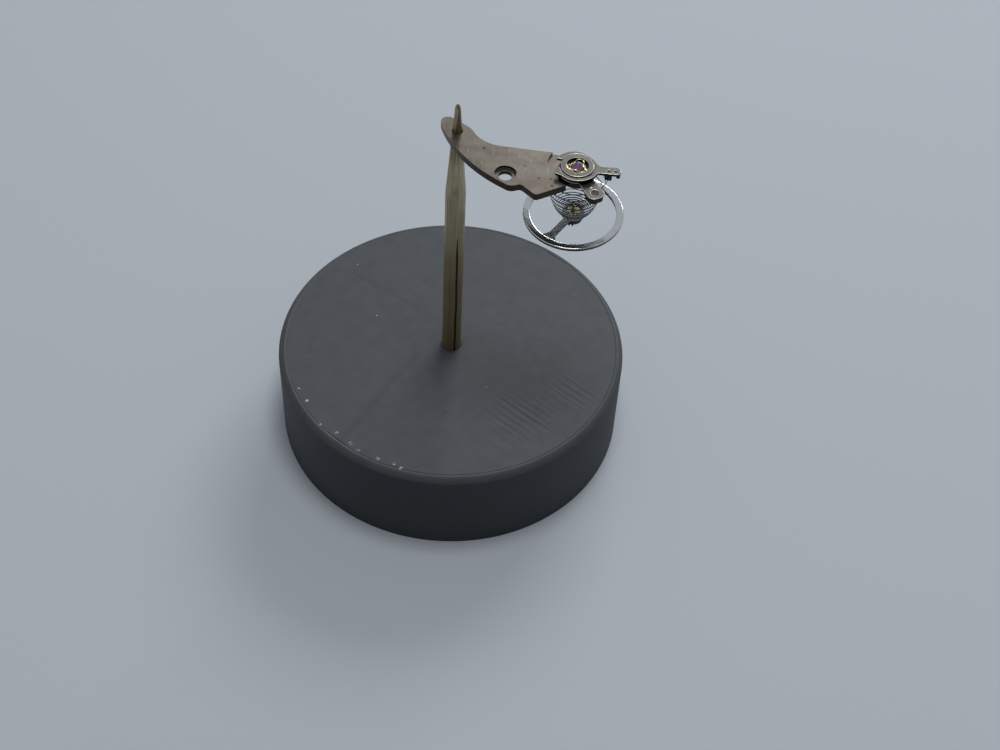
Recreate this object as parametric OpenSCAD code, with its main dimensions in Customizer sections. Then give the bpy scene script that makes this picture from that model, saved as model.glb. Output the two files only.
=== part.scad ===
// Balance tack: a round printed base with a pointed brass post. A watch balance
// cock hangs on the point by a hole in its tail, and the balance hangs below it
// on its stretched hairspring. Millimetres, +Z up, origin under the middle of
// the base, on the table.

/* [Base] */
// Diameter of the printed base
base_d = 30; // [28:0.5:40]
// Height of the printed base
base_h = 8.6; // [7:0.1:14]
// Chamfer round the top edge of the base
base_chamfer = 0.45; // [0.2:0.05:1.2]
// Depth of the socket that grips the post
socket_depth = 6; // [3:0.25:6.5]

/* [Post] */
// Diameter of the brass post
post_d = 1.64; // [1.5:0.02:2.4]
// Height of the tip above the table
tip_z = 35.6; // [32:0.1:45]
// Length of the ground taper, tip included
taper_len = 8.9; // [8:0.1:14]
// Diameter of the taper where the blunt nose begins
nose_d = 0.44; // [0.3:0.02:0.6]
// Length of the blunt nose
nose_len = 0.35; // [0.2:0.05:0.6]
// Diameter of the flat on the very tip
tip_flat_d = 0.14; // [0.08:0.02:0.24]
// Lean of the post to the right, in degrees
post_lean = 0.35; // [0:0.05:1]

/* [Cock plate] */
// Thickness of the cock plate
cock_t = 0.6; // [0.5:0.02:0.9]
// Diameter of the tail hole that hangs on the taper
hang_hole_d = 0.88; // [0.7:0.02:1.1]
// Radius of the movement edge that the front of the cock follows
movement_r = 11.6; // [9:0.1:16]
// Distance of the balance axis from the post, to the right
balance_x = 9.29; // [8.6:0.05:11]
// Distance of the balance axis from the post, to the front
balance_y = 3.74; // [3.2:0.02:4.4]
// Distance of the cock screw hole from the post, to the right
screw_x = 3.97; // [3.6:0.02:4.4]
// Distance of the cock screw hole from the post, to the front
screw_y = 4.46; // [4.2:0.02:4.7]
// Diameter of the cock screw hole
screw_hole_d = 1.06; // [0.8:0.02:1.3]
// Diameter of the counterbore for the screw head
screw_head_d = 1.66; // [1.4:0.02:1.9]
// Depth of the counterbore for the screw head
screw_head_t = 0.25; // [0.1:0.01:0.4]
// Radius of the sunk seat round the regulator
recess_r = 2.36; // [2:0.02:2.6]
// Depth of the sunk seat round the regulator
recess_t = 0.2; // [0.1:0.01:0.3]
// Radius of the cock's round end at the setting
cock_end_r = 1.35; // [1.25:0.01:1.5]

/* [Shock setting] */
// Radius of the setting block's body
block_r = 1.03; // [0.95:0.01:1.1]
// Radius of the setting block's top flange
flange_r = 1.25; // [1.2:0.01:1.3]
// Thickness of the top flange
flange_t = 0.18; // [0.14:0.01:0.24]
// Radius of the collar between the regulator and the stud carrier
collar_r = 1.16; // [1.12:0.01:1.25]
// Height of that collar
collar_t = 0.12; // [0.06:0.01:0.2]
// Radius of the opening in the setting block
opening_r = 0.84; // [0.78:0.01:0.86]
// Radius of the chaton
chaton_r = 0.62; // [0.56:0.01:0.68]
// Height of the chaton
chaton_t = 0.48; // [0.44:0.01:0.52]
// Radius of the hole jewel
hole_jewel_r = 0.4; // [0.34:0.01:0.44]
// Thickness of the hole jewel
hole_jewel_t = 0.2; // [0.14:0.01:0.22]
// Radius of the cap jewel
cap_jewel_r = 0.5; // [0.46:0.01:0.52]
// Thickness of the cap jewel
cap_jewel_t = 0.25; // [0.2:0.01:0.26]
// Thickness of the three-lobed shock spring
trefoil_t = 0.05; // [0.03:0.005:0.07]
// Width of the shock spring's band
trefoil_w = 0.1; // [0.07:0.005:0.13]
// How far each lobe of the shock spring bows out and in
trefoil_bow = 0.21; // [0.15:0.01:0.24]
// Direction of the first lobe
trefoil_dir = 71; // [0:1:119]

/* [Regulator] */
// Thickness of the regulator
regulator_t = 0.2; // [0.14:0.01:0.26]
// Outer radius of the regulator's ring
regulator_ring_r = 1.45; // [1.35:0.01:1.55]
// Reach of the regulator's arm from the balance axis
regulator_reach = 3.32; // [3.2:0.02:3.7]
// Width of the regulator's arm at its end
regulator_w = 1.4; // [1.2:0.02:1.5]
// Width of the regulator's arm at its root
regulator_root_w = 1; // [0.9:0.02:1.2]
// Direction of the regulator's arm
regulator_dir = -60.4; // [-75:0.2:-55]
// Diameter of the boot's shank
boot_shank_d = 0.62; // [0.5:0.01:0.7]
// Depth of the boot below the regulator
boot_h = 0.4; // [0.35:0.01:0.6]
// Diameter of the curb pin
curb_pin_d = 0.14; // [0.1:0.01:0.16]

/* [Stud carrier] */
// Thickness of the stud carrier
carrier_t = 0.24; // [0.2:0.01:0.3]
// Outer radius of the stud carrier's open ring, at the front
carrier_ring_r = 1.61; // [1.55:0.01:1.75]
// Outer radius of its open ring at the back, which is set off centre
carrier_back_r = 1.525; // [1.45:0.005:1.6]
// Radius of the sunk step inside the ring, which takes the flange
carrier_step_r = 1.34; // [1.3:0.01:1.4]
// Thickness of the lip left under that step
carrier_lip = 0.1; // [0.06:0.01:0.14]
// Width of the gap in the open ring
carrier_gap = 0.79; // [0.4:0.01:0.9]
// Reach of the stud carrier's arm from the balance axis
carrier_reach = 3.21; // [3.1:0.01:3.5]
// Width of the stud carrier's arm at its end
carrier_w = 0.82; // [0.7:0.01:0.9]
// Diameter of the boss under the tip of the arm
boss_d = 0.3; // [0.24:0.01:0.36]
// Height of the boss under the tip of the arm
boss_h = 0.4; // [0.3:0.01:0.5]
// Diameter of the stud
stud_d = 0.56; // [0.46:0.01:0.6]
// Length of the stud below the carrier
stud_h = 0.56; // [0.5:0.01:0.7]
// Distance of the stud from the balance axis
stud_r = 2.36; // [2.26:0.01:2.4]
// Direction of the stud from the balance axis
stud_dir = -9.4; // [-14:0.2:-6]
// Diameter of the stud screw
stud_screw_d = 0.28; // [0.22:0.01:0.32]

/* [Hairspring] */
// Thickness of the hairspring's strip, drawn as a round wire
hairspring_d = 0.08; // [0.06:0.005:0.1]
// Spacing of the spring's outer turns, seen from above
hairspring_pitch = 0.19; // [0.17:0.005:0.26]
// Spacing of the spring's inner turns along its cone
hairspring_spread = 0.56; // [0.52:0.01:0.7]
// How steeply the spring's drop grows with the radius of its turns
sag_power = 5; // [3:0.1:5.5]

/* [Balance] */
// Drop from the top of the cock to the top of the rim
hang_drop = 4.22; // [3.8:0.02:5]
// Lean of the hanging balance to the front, in degrees
lean_front = 3; // [0:0.2:5]
// Lean of the hanging balance to the left, in degrees
lean_left = 1.2; // [0:0.2:3]
// Outer radius of the balance wheel
wheel_r = 3.86; // [3.6:0.02:4.2]
// Width of the rim
rim_w = 0.56; // [0.4:0.01:0.7]
// Height of the rim
rim_t = 0.3; // [0.24:0.01:0.4]
// Thickness of the arms
arm_t = 0.14; // [0.1:0.01:0.18]
// Width of the arms at their waist
arm_w = 0.56; // [0.4:0.01:0.8]
// Fillet radius where an arm meets the rim and the hub
arm_fillet = 0.9; // [0.3:0.05:1.2]
// Direction of the first arm
arm_dir = -124.5; // [-150:0.5:-90]
// Radius of the wheel's hub
hub_r = 0.88; // [0.75:0.01:1]
// Radius of the collet
collet_r = 0.53; // [0.45:0.01:0.6]
// Height of the collet
collet_t = 0.3; // [0.24:0.01:0.36]
// Width of the slit in the collet
collet_slit = 0.07; // [0.05:0.005:0.1]
// Radius of the roller table
roller_r = 0.72; // [0.6:0.01:0.85]
// Thickness of the roller table
roller_t = 0.15; // [0.1:0.01:0.2]
// Radius of the safety roller
safety_r = 0.32; // [0.28:0.01:0.4]
// Radius of the impulse jewel
impulse_r = 0.11; // [0.08:0.005:0.14]
// Length of the impulse jewel below the roller table
impulse_h = 0.35; // [0.25:0.01:0.45]
// Radius of the staff's pivots
pivot_r = 0.05; // [0.04:0.005:0.07]
// Length of each pivot
pivot_len = 0.35; // [0.25:0.01:0.45]

/* [Fits] */
// Radial play between the taper and the tail hole
hang_play = 0.02; // [0.01:0.005:0.05]
// Radial play of the rings that turn on the setting block
ring_play = 0.03; // [0.02:0.005:0.05]
// Play in height between pieces that turn over each other
face_play = 0.03; // [0.02:0.005:0.05]
// Play between the hairspring and what it passes
curb_play = 0.06; // [0.05:0.005:0.08]
// Play between the chaton and its seat
seat_play = 0.02; // [0.01:0.005:0.03]

/* [Hidden] */

$fn = 96;
corner_steps = 8;
overcut = 0.1;

// Where the plate comes to rest on the taper
post_r = post_d / 2;
nose_z = tip_z - nose_len;
taper_z = tip_z - taper_len;
taper_slope = (post_r - nose_d / 2) / (nose_z - taper_z);
under_z = nose_z - (hang_hole_d / 2 - hang_play - nose_d / 2) / taper_slope;
top_z = under_z + cock_t;
floor_z = top_z - recess_t;

// The stack on the setting block
axis_at = [balance_x, -balance_y];
screw_at = [screw_x, -screw_y];
recess_at = axis_at + [0.1, 0.5];
regulator_z = floor_z + face_play;
collar_z = regulator_z + regulator_t + face_play;
carrier_z = collar_z + collar_t + face_play;
flange_z = carrier_z + carrier_lip + face_play;
block_top_z = flange_z + flange_t;
block_lip = 0.08;
block_under_z = under_z - block_lip;
block_floor = 0.47;
block_hole_r = 0.2;
ring_bore_r = block_r + ring_play;

// The jewels in the setting
chaton_z = block_under_z + block_floor + seat_play;
chaton_rim = 0.08;
chaton_bore_r = 0.16;
hole_jewel_z = chaton_z + chaton_rim;
jewel_gap = 0.04;
cap_jewel_z = hole_jewel_z + hole_jewel_t + jewel_gap;
cap_seat_z = cap_jewel_z - jewel_gap / 2;
cap_bevel = 0.08;
trefoil_z = cap_jewel_z + cap_jewel_t + seat_play;
trefoil_mean_r = opening_r + 0.03 - trefoil_w / 2 - trefoil_bow;
groove_r = opening_r + 0.03 + seat_play;
trefoil_steps = 72;

// The regulator's boot and curb pin close on the outer turn, which lies a little
// inside the stud's radius where it passes them
spring_r = hairspring_d / 2;
curb_r = stud_r - 0.04;
boot_inner_r = curb_r + spring_r + curb_play;
boot_shank_at = 2.69;
boot_margin = 0.1;
boot_sunk = 0.06;
curb_pin_at = curb_r - spring_r - curb_play - curb_pin_d / 2;
arm_corner = 0.5;

// The stud carrier's arm and what it holds
stud_flat = 0.17;
stud_neck_d = 0.26;
stud_dimple = 0.05;
screw_sunk = 0.03;
spring_below_carrier = 0.48;

// The hanging balance, in its own frame with Z = 0 on top of the rim
rim_z = top_z - hang_drop;
arm_top = -rim_t + arm_t;
collet_top = arm_top + collet_t;
spring_seat = arm_top + collet_t / 2;
flange_depth = 0.27;
roller_top = -rim_t - flange_depth;
roller_seat_r = 0.2;
safety_seat_r = 0.16;
safety_gap = 0.15;
safety_t = 0.15;
safety_top = roller_top - roller_t - safety_gap;
staff_flange_r = 0.45;
wheel_seat_r = 0.3;
collet_seat_r = 0.25;
cone_r = 0.16;
cone_len = 0.28;
impulse_at = 0.52;
crescent_r = 0.12;

// Geometry helpers
function unit(v) = v / norm(v);
function polar(r, a) = [r * cos(a), r * sin(a)];
function wrap(a) = a > 180 ? a - 360 : a < -180 ? a + 360 : a;

// A corner p between a and b, rounded to radius r
function corner(a, p, b, r) =
    r == 0 ? [p] :
    let (
        u = unit(a - p),
        v = unit(b - p),
        half = acos(u * v) / 2,
        c = p + unit(u + v) * r / sin(half),
        s = p + u * r / tan(half) - c,
        e = p + v * r / tan(half) - c,
        from = atan2(s.y, s.x),
        turn = wrap(atan2(e.y, e.x) - from)
    )
    [for (i = [0:corner_steps]) c + polar(r, from + turn * i / corner_steps)];

// An outline from corners given as [x, y, radius]
function rounded(pts) =
    let (n = len(pts))
    [for (i = [0:n - 1])
        let (a = pts[(i + n - 1) % n], p = pts[i], b = pts[(i + 1) % n])
        each corner([a.x, a.y], [p.x, p.y], [b.x, b.y], p[2])];

// An arc of radius r from p to q, its centre on the left of the way
function arc_between(p, q, r, n) =
    let (
        half = norm(q - p) / 2,
        d = unit(q - p),
        c = (p + q) / 2 + [-d.y, d.x] * sqrt(r * r - half * half),
        from = atan2(p.y - c.y, p.x - c.x),
        turn = wrap(atan2(q.y - c.y, q.x - c.x) - from)
    )
    [for (i = [0:n]) c + polar(r, from + turn * i / n)];

function sharp(pts) = [for (p = pts) [p.x, p.y, 0]];

module at_axis(z) {
    translate([axis_at.x, axis_at.y, z]) children();
}

// The hanging balance leans about the middle of its collet
module hang() {
    translate([axis_at.x, axis_at.y, rim_z + spring_seat])
        rotate([lean_front, -lean_left, 0])
            translate([0, 0, -spring_seat])
                children();
}

// The post leans about the middle of its socket's mouth
module on_post() {
    translate([0, 0, base_h])
        rotate([0, post_lean, 0])
            translate([0, 0, -base_h])
                children();
}

// Base and post
module base() {
    color("#464B54")
        difference() {
            rotate_extrude($fn = 180)
                polygon([
                    [0, 0],
                    [base_d / 2, 0],
                    [base_d / 2, base_h - base_chamfer],
                    [base_d / 2 - base_chamfer, base_h],
                    [0, base_h]
                ]);
            on_post()
                translate([0, 0, base_h - socket_depth])
                    cylinder(r = post_r, h = socket_depth + overcut);
        }
}

module post() {
    color("#8C7C58")
        on_post()
            rotate_extrude()
                polygon([
                    [0, base_h - socket_depth],
                    [post_r, base_h - socket_depth],
                    [post_r, taper_z],
                    [nose_d / 2, nose_z],
                    [tip_flat_d / 2, tip_z],
                    [0, tip_z]
                ]);
}

// Cock plate. Its corners are set out from the post, the screw and the balance
// axis, in hundredths of the distance from the post to the balance axis.
span = norm(axis_at) / 100;
hang_at = [(under_z - base_h) * tan(post_lean), 0];

function beside(at, x, y, r) = [at.x + x * span, at.y + y * span, r * span];

front_arc = arc_between([-10.3, 4.9] * span, screw_at + [-3.6, -8.9] * span, movement_r, 28);
end_arc = [for (a = [-126:12:102]) axis_at + polar(cock_end_r, a)];
cock_outline = rounded(concat(
    sharp(front_arc),
    [
        beside(screw_at, 4, -13.8, 7),
        beside(screw_at, 11.6, -10.7, 3.5),
        beside(axis_at, -30.2, -28.8, 3.2),
        beside(axis_at, -7.9, -16.6, 1.2)
    ],
    sharp(end_arc),
    [
        beside(axis_at, -8.5, 17.2, 2.5),
        beside([0, 0], 21.1, -13.5, 28),
        beside([0, 0], 11.7, 3.4, 12),
        beside([0, 0], -17, 24.2, 5.4)
    ]
));

module cock_plate() {
    color("#8A8477")
        difference() {
            translate([0, 0, under_z])
                linear_extrude(cock_t)
                    polygon(cock_outline);
            translate([hang_at.x, hang_at.y, under_z - overcut])
                cylinder(d = hang_hole_d, h = cock_t + 2 * overcut);
            translate([screw_at.x, screw_at.y, under_z - overcut])
                cylinder(d = screw_hole_d, h = cock_t + 2 * overcut);
            translate([screw_at.x, screw_at.y, top_z - screw_head_t])
                cylinder(d = screw_head_d, h = screw_head_t + overcut);
            at_axis(under_z - overcut)
                cylinder(r = block_r, h = cock_t + 2 * overcut);
            translate([recess_at.x, recess_at.y, floor_z])
                cylinder(r = recess_r, h = recess_t + overcut);
        }
}

// Shock setting
module setting_block() {
    well_r = chaton_r + seat_play;
    well_z = chaton_z - seat_play;
    shelf_z = cap_jewel_z + cap_jewel_t / 2;
    color("#8F8C85")
        at_axis(0)
            rotate_extrude()
                polygon([
                    [block_hole_r, block_under_z],
                    [block_r, block_under_z],
                    [block_r, collar_z],
                    [collar_r, collar_z],
                    [collar_r, collar_z + collar_t],
                    [block_r, collar_z + collar_t],
                    [block_r, flange_z],
                    [flange_r, flange_z],
                    [flange_r, block_top_z],
                    [opening_r, block_top_z],
                    [opening_r, trefoil_z + trefoil_t + seat_play],
                    [groove_r, trefoil_z + trefoil_t + seat_play],
                    [groove_r, trefoil_z - seat_play],
                    [opening_r, trefoil_z - seat_play],
                    [opening_r, shelf_z],
                    [well_r, shelf_z],
                    [well_r, well_z],
                    [block_hole_r, well_z]
                ]);
}

module chaton() {
    color("#B99A4C")
        at_axis(0)
            rotate_extrude()
                polygon([
                    [chaton_bore_r, chaton_z],
                    [chaton_r, chaton_z],
                    [chaton_r, chaton_z + chaton_t],
                    [cap_jewel_r, chaton_z + chaton_t],
                    [cap_jewel_r, cap_seat_z],
                    [hole_jewel_r, cap_seat_z],
                    [hole_jewel_r, hole_jewel_z],
                    [chaton_bore_r, hole_jewel_z]
                ]);
}

module hole_jewel() {
    bore_r = pivot_r + 0.01;
    sink_r = hole_jewel_r * 0.55;
    color("#A0306A")
        at_axis(hole_jewel_z)
            rotate_extrude()
                polygon([
                    [bore_r, hole_jewel_t * 0.5],
                    [sink_r, 0],
                    [hole_jewel_r, 0],
                    [hole_jewel_r, hole_jewel_t],
                    [bore_r, hole_jewel_t]
                ]);
}

module cap_jewel() {
    color("#6A3A8C")
        at_axis(cap_jewel_z)
            rotate_extrude()
                polygon([
                    [0, 0],
                    [cap_jewel_r, 0],
                    [cap_jewel_r, cap_jewel_t - cap_bevel],
                    [cap_jewel_r - cap_bevel, cap_jewel_t],
                    [0, cap_jewel_t]
                ]);
}

// One edge of the three-lobed band, side away from its middle line
function trefoil_edge(side) =
    [for (i = [0:trefoil_steps - 1])
        let (a = 360 * i / trefoil_steps)
        polar(trefoil_mean_r + trefoil_bow * cos(3 * (a - trefoil_dir)) + side, a)];

module shock_spring() {
    color("#C9A951")
        at_axis(trefoil_z)
            linear_extrude(trefoil_t)
                difference() {
                    polygon(trefoil_edge(trefoil_w / 2));
                    polygon(trefoil_edge(-trefoil_w / 2));
                }
}

// Regulator
module regulator() {
    color("#85837C")
        at_axis(regulator_z)
            rotate([0, 0, regulator_dir])
                linear_extrude(regulator_t)
                    difference() {
                        union() {
                            circle(r = regulator_ring_r);
                            polygon(rounded([
                                [0, -regulator_root_w / 2, 0],
                                [regulator_reach, -regulator_w / 2, arm_corner],
                                [regulator_reach, regulator_w / 2, arm_corner],
                                [0, regulator_root_w / 2, 0]
                            ]));
                        }
                        circle(r = ring_bore_r);
                        translate([boot_shank_at, 0])
                            circle(d = boot_shank_d);
                        translate([curb_pin_at, 0])
                            circle(d = curb_pin_d);
                    }
}

module regulator_boot() {
    reach = regulator_reach - boot_margin;
    width = regulator_w - 2 * boot_margin;
    color("#33322F")
        at_axis(regulator_z)
            rotate([0, 0, regulator_dir]) {
                difference() {
                    translate([0, 0, -boot_h])
                        linear_extrude(boot_h)
                            polygon(rounded([
                                [boot_inner_r * 0.8, -width / 2, 0],
                                [reach, -width / 2, arm_corner - boot_margin],
                                [reach, width / 2, arm_corner - boot_margin],
                                [boot_inner_r * 0.8, width / 2, 0]
                            ]));
                    translate([0, 0, -boot_h - overcut])
                        cylinder(r = boot_inner_r, h = boot_h + 2 * overcut);
                }
                translate([boot_shank_at, 0, 0])
                    cylinder(d = boot_shank_d, h = regulator_t - boot_sunk);
            }
}

module curb_pin() {
    color("#B59A5A")
        at_axis(regulator_z - boot_h)
            rotate([0, 0, regulator_dir])
                translate([curb_pin_at, 0, 0])
                    cylinder(d = curb_pin_d, h = boot_h + regulator_t, $fn = 32);
}

// Stud carrier. Its corners are set out from the balance axis, in hundredths of
// the stud's distance from it: the tab, the front of the ring, the arm, and the
// back of the ring, which ends at the gap.
mark = stud_r / 100;
back_centre = [-8.5, 3] * mark;
gap_low = -10.3 * mark;
gap_high = gap_low + carrier_gap;
screw_mark = [119, -17.7] * mark;
boss_mark = [129.5, -15] * mark;
carrier_outline = rounded(concat(
    [
        [-17 * mark, gap_low, 0],
        [-70 * mark, gap_low, 2 * mark],
        [-70 * mark, -37.6 * mark, 2 * mark]
    ],
    sharp([for (a = [-136:8:-40]) polar(carrier_ring_r, a)]),
    [
        [66 * mark, -27.5 * mark, 9 * mark],
        [carrier_reach, 2.5 * mark - carrier_w, 13 * mark],
        [carrier_reach, 2.5 * mark, 15 * mark],
        [73 * mark, 2 * mark, 22 * mark]
    ],
    sharp([for (a = [34:8:154]) back_centre + polar(carrier_back_r, a)]),
    [[-17 * mark, gap_high, 0]]
));

module stud_carrier() {
    color("#86857F")
        at_axis(carrier_z)
            difference() {
                union() {
                    linear_extrude(carrier_t)
                        polygon(carrier_outline);
                    translate([boss_mark.x, boss_mark.y, -boss_h])
                        cylinder(d = boss_d, h = boss_h + carrier_t / 2, $fn = 48);
                }
                translate([0, 0, -overcut]) {
                    cylinder(r = ring_bore_r, h = carrier_t + 2 * overcut);
                    rotate([0, 0, stud_dir])
                        translate([stud_r, 0, 0])
                            cylinder(d = stud_neck_d, h = carrier_t + 2 * overcut);
                    translate([screw_mark.x, screw_mark.y, 0])
                        cylinder(d = stud_screw_d, h = carrier_t + 2 * overcut);
                }
                translate([0, 0, carrier_lip])
                    cylinder(r = carrier_step_r, h = carrier_t);
            }
}

module stud() {
    color("#2E2D2B")
        at_axis(carrier_z)
            rotate([0, 0, stud_dir])
                translate([stud_r, 0, 0])
                    difference() {
                        union() {
                            translate([0, 0, -stud_h])
                                cylinder(d = stud_d, h = stud_h);
                            cylinder(d = stud_neck_d, h = carrier_t - stud_dimple);
                        }
                        translate([-stud_d, -stud_d - stud_flat, -stud_h - overcut])
                            cube([2 * stud_d, stud_d, stud_h + overcut]);
                    }
}

module stud_screw() {
    color("#5C5D5E")
        at_axis(carrier_z)
            translate([screw_mark.x, screw_mark.y, 0])
                cylinder(d = stud_screw_d, h = carrier_t - screw_sunk, $fn = 48);
}

// Hairspring: a cone of turns that opens upwards, from the collet to the stud.
// Its drop below the stud grows with a power of the radius, because a wide turn
// yields more under the balance's weight than a narrow one.
sides = 6;
rings_per_turn = 16;
coil_in_r = collet_r + 3 * hairspring_d;
coil_out_r = stud_r;
coil_in_z = rim_z + spring_seat;
coil_out_z = carrier_z - spring_below_carrier;
coil_rise = coil_out_z - coil_in_z;
power_span = pow(coil_out_r, sag_power) - pow(coil_in_r, sag_power);

function rise_at(r) = coil_rise * (pow(r, sag_power) - pow(coil_in_r, sag_power)) / power_span;
function slope_at(r) = coil_rise * sag_power * pow(r, sag_power - 1) / power_span;
function pitch_at(r) = max(hairspring_pitch, hairspring_spread / sqrt(1 + pow(slope_at(r), 2)));

coil_raw = [for (r = coil_in_r; r < coil_out_r; r = r + pitch_at(r) / rings_per_turn) r];
coil_last = len(coil_raw) - 1;
coil_fit = (coil_out_r - coil_in_r) / (coil_raw[coil_last] - coil_in_r);
coil_radii = [for (r = coil_raw) coil_in_r + (r - coil_in_r) * coil_fit];
coil_step = 360 / rings_per_turn;
// The outer end stops short of the stud by its flat and one straight diameter
coil_end_dir = stud_dir - asin((stud_flat + hairspring_d) / stud_r);

function coil_dir(k) = coil_end_dir - (coil_last - k) * coil_step;
function coil_point(k) =
    let (r = coil_radii[k], p = polar(r, coil_dir(k)))
    [axis_at.x + p.x, axis_at.y + p.y, coil_in_z + rise_at(r)];

// The inner end leaves the collet square to its side, the outer one meets the
// stud's flat square to it
inner_dir = coil_dir(0) - 12;
inner_way = polar(1, inner_dir);
inner_z = coil_in_z;
inner_start = [axis_at.x, axis_at.y, inner_z] + [inner_way.x, inner_way.y, 0] * (collet_r + 0.004);
inner_next = inner_start + [inner_way.x, inner_way.y, 0] * hairspring_d;
outer_way = polar(1, stud_dir + 90);
outer_mid = axis_at + polar(stud_r, stud_dir);
outer_end = [outer_mid.x, outer_mid.y, coil_out_z] - [outer_way.x, outer_way.y, 0] * stud_flat;
outer_prev = outer_end - [outer_way.x, outer_way.y, 0] * hairspring_d;

coil_path = concat(
    [inner_start, inner_next],
    [for (k = [1:coil_last - 1]) coil_point(k)],
    [outer_prev, outer_end]
);

module tube(path, r) {
    n = len(path);
    function way(i) = unit(
        i == 0 ? path[1] - path[0] :
        i == n - 1 ? path[n - 1] - path[n - 2] :
        unit(path[i + 1] - path[i]) + unit(path[i] - path[i - 1])
    );
    points = [for (i = [0:n - 1])
        let (
            w = way(i),
            across = unit(cross(w, [0, 0, 1])),
            up = cross(across, w)
        )
        for (s = [0:sides - 1])
            path[i] + r * (across * cos(360 * s / sides) + up * sin(360 * s / sides))
    ];
    walls = [for (i = [0:n - 2], s = [0:sides - 1])
        let (
            a = i * sides + s,
            b = i * sides + (s + 1) % sides,
            c = a + sides,
            d = b + sides
        )
        each [[a, c, b], [b, c, d]]
    ];
    first = [for (s = [1:sides - 2]) [0, s, s + 1]];
    last_ring = (n - 1) * sides;
    last = [for (s = [1:sides - 2]) [last_ring, last_ring + s + 1, last_ring + s]];
    polyhedron(points = points, faces = concat(walls, first, last));
}

module hairspring() {
    color("#9EA3A8")
        tube(coil_path, spring_r);
}

// Least gap of the spring to itself, taken between points half a turn apart or more
function dense(path) = [for (i = [0:len(path) - 2], t = [0:0.25:0.75])
    path[i] * (1 - t) + path[i + 1] * t];
coil_dense = dense(coil_path);
half_turn = rings_per_turn * 2; // four points to a ring
least_gap = min([
    for (i = [0:len(coil_dense) - 1], j = [i + half_turn:1:len(coil_dense) - 1])
        norm(coil_dense[i] - coil_dense[j])
]) - hairspring_d;
echo(hairspring_turns = coil_last / rings_per_turn, hairspring_least_gap = least_gap);
echo(top_z = top_z, under_z = under_z, rim_z = rim_z, collet_z = rim_z + spring_seat);
echo(carrier_z = carrier_z, block_top_z = block_top_z, trefoil_z = trefoil_z);

// Balance
module collet() {
    color("#C2A45A")
        hang()
            difference() {
                translate([0, 0, arm_top])
                    cylinder(r = collet_r, h = collet_t);
                translate([0, 0, arm_top - overcut])
                    cylinder(r = collet_seat_r, h = collet_t + 2 * overcut);
                translate([-collet_slit / 2, -2 * collet_r, arm_top - overcut])
                    cube([collet_slit, 2 * collet_r, collet_t + 2 * overcut]);
            }
}

// One arm along +X, waisted between the hub and the rim
module wheel_arm() {
    inner = wheel_r - rim_w;
    waist = arm_w / 2;
    polygon(rounded([
        [0, -hub_r * 0.6, 0],
        [hub_r, -waist, arm_fillet],
        [inner - arm_fillet * 0.6, -waist, arm_fillet],
        [inner + rim_w / 2, -waist - arm_fillet * 0.7, 0],
        [inner + rim_w / 2, waist + arm_fillet * 0.7, 0],
        [inner - arm_fillet * 0.6, waist, arm_fillet],
        [hub_r, waist, arm_fillet],
        [0, hub_r * 0.6, 0]
    ]));
}

module balance_wheel() {
    color("#8E9398")
        hang()
            difference() {
                union() {
                    translate([0, 0, -rim_t])
                        difference() {
                            cylinder(r = wheel_r, h = rim_t, $fn = 180);
                            translate([0, 0, -overcut])
                                cylinder(r = wheel_r - rim_w, h = rim_t + 2 * overcut, $fn = 180);
                        }
                    translate([0, 0, -rim_t])
                        linear_extrude(arm_t)
                            union() {
                                circle(r = hub_r);
                                for (half = [0:1])
                                    rotate(arm_dir + 180 * half)
                                        wheel_arm();
                            }
                }
                translate([0, 0, -rim_t - overcut])
                    cylinder(r = wheel_seat_r, h = arm_t + 2 * overcut);
            }
}

module balance_staff() {
    safety_low = safety_top - safety_t;
    color("#6E7174")
        hang()
            rotate_extrude()
                polygon([
                    [0, safety_low - cone_len - pivot_len],
                    [pivot_r, safety_low - cone_len - pivot_len],
                    [pivot_r, safety_low - cone_len],
                    [safety_seat_r, safety_low],
                    [safety_seat_r, safety_top],
                    [roller_seat_r, safety_top],
                    [roller_seat_r, roller_top],
                    [staff_flange_r, roller_top],
                    [staff_flange_r, -rim_t],
                    [wheel_seat_r, -rim_t],
                    [wheel_seat_r, arm_top],
                    [collet_seat_r, arm_top],
                    [collet_seat_r, collet_top],
                    [cone_r, collet_top],
                    [pivot_r, collet_top + cone_len],
                    [pivot_r, collet_top + cone_len + pivot_len],
                    [0, collet_top + cone_len + pivot_len]
                ]);
}

module roller_table() {
    color("#A9A49A")
        hang()
            difference() {
                translate([0, 0, roller_top - roller_t])
                    cylinder(r = roller_r, h = roller_t);
                translate([0, 0, roller_top - roller_t - overcut])
                    cylinder(r = roller_seat_r, h = roller_t + 2 * overcut);
                rotate([0, 0, arm_dir])
                    translate([impulse_at, 0, roller_top - roller_t - overcut])
                        cylinder(r = impulse_r, h = roller_t + 2 * overcut, $fn = 48);
            }
}

module safety_roller() {
    color("#A9A49A")
        hang()
            difference() {
                translate([0, 0, safety_top - safety_t])
                    cylinder(r = safety_r, h = safety_t);
                translate([0, 0, safety_top - safety_t - overcut])
                    cylinder(r = safety_seat_r, h = safety_t + 2 * overcut);
                rotate([0, 0, arm_dir])
                    translate([safety_r + crescent_r * 0.5, 0, safety_top - safety_t - overcut])
                        cylinder(r = crescent_r, h = safety_t + 2 * overcut, $fn = 48);
            }
}

module impulse_jewel() {
    flat = impulse_r * 0.35;
    color("#B0305A")
        hang()
            rotate([0, 0, arm_dir])
                translate([impulse_at, 0, roller_top - roller_t - impulse_h])
                    difference() {
                        cylinder(r = impulse_r, h = impulse_h + roller_t, $fn = 48);
                        translate([flat, -impulse_r, -overcut])
                            cube([impulse_r, 2 * impulse_r, impulse_h + overcut]);
                    }
}

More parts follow.
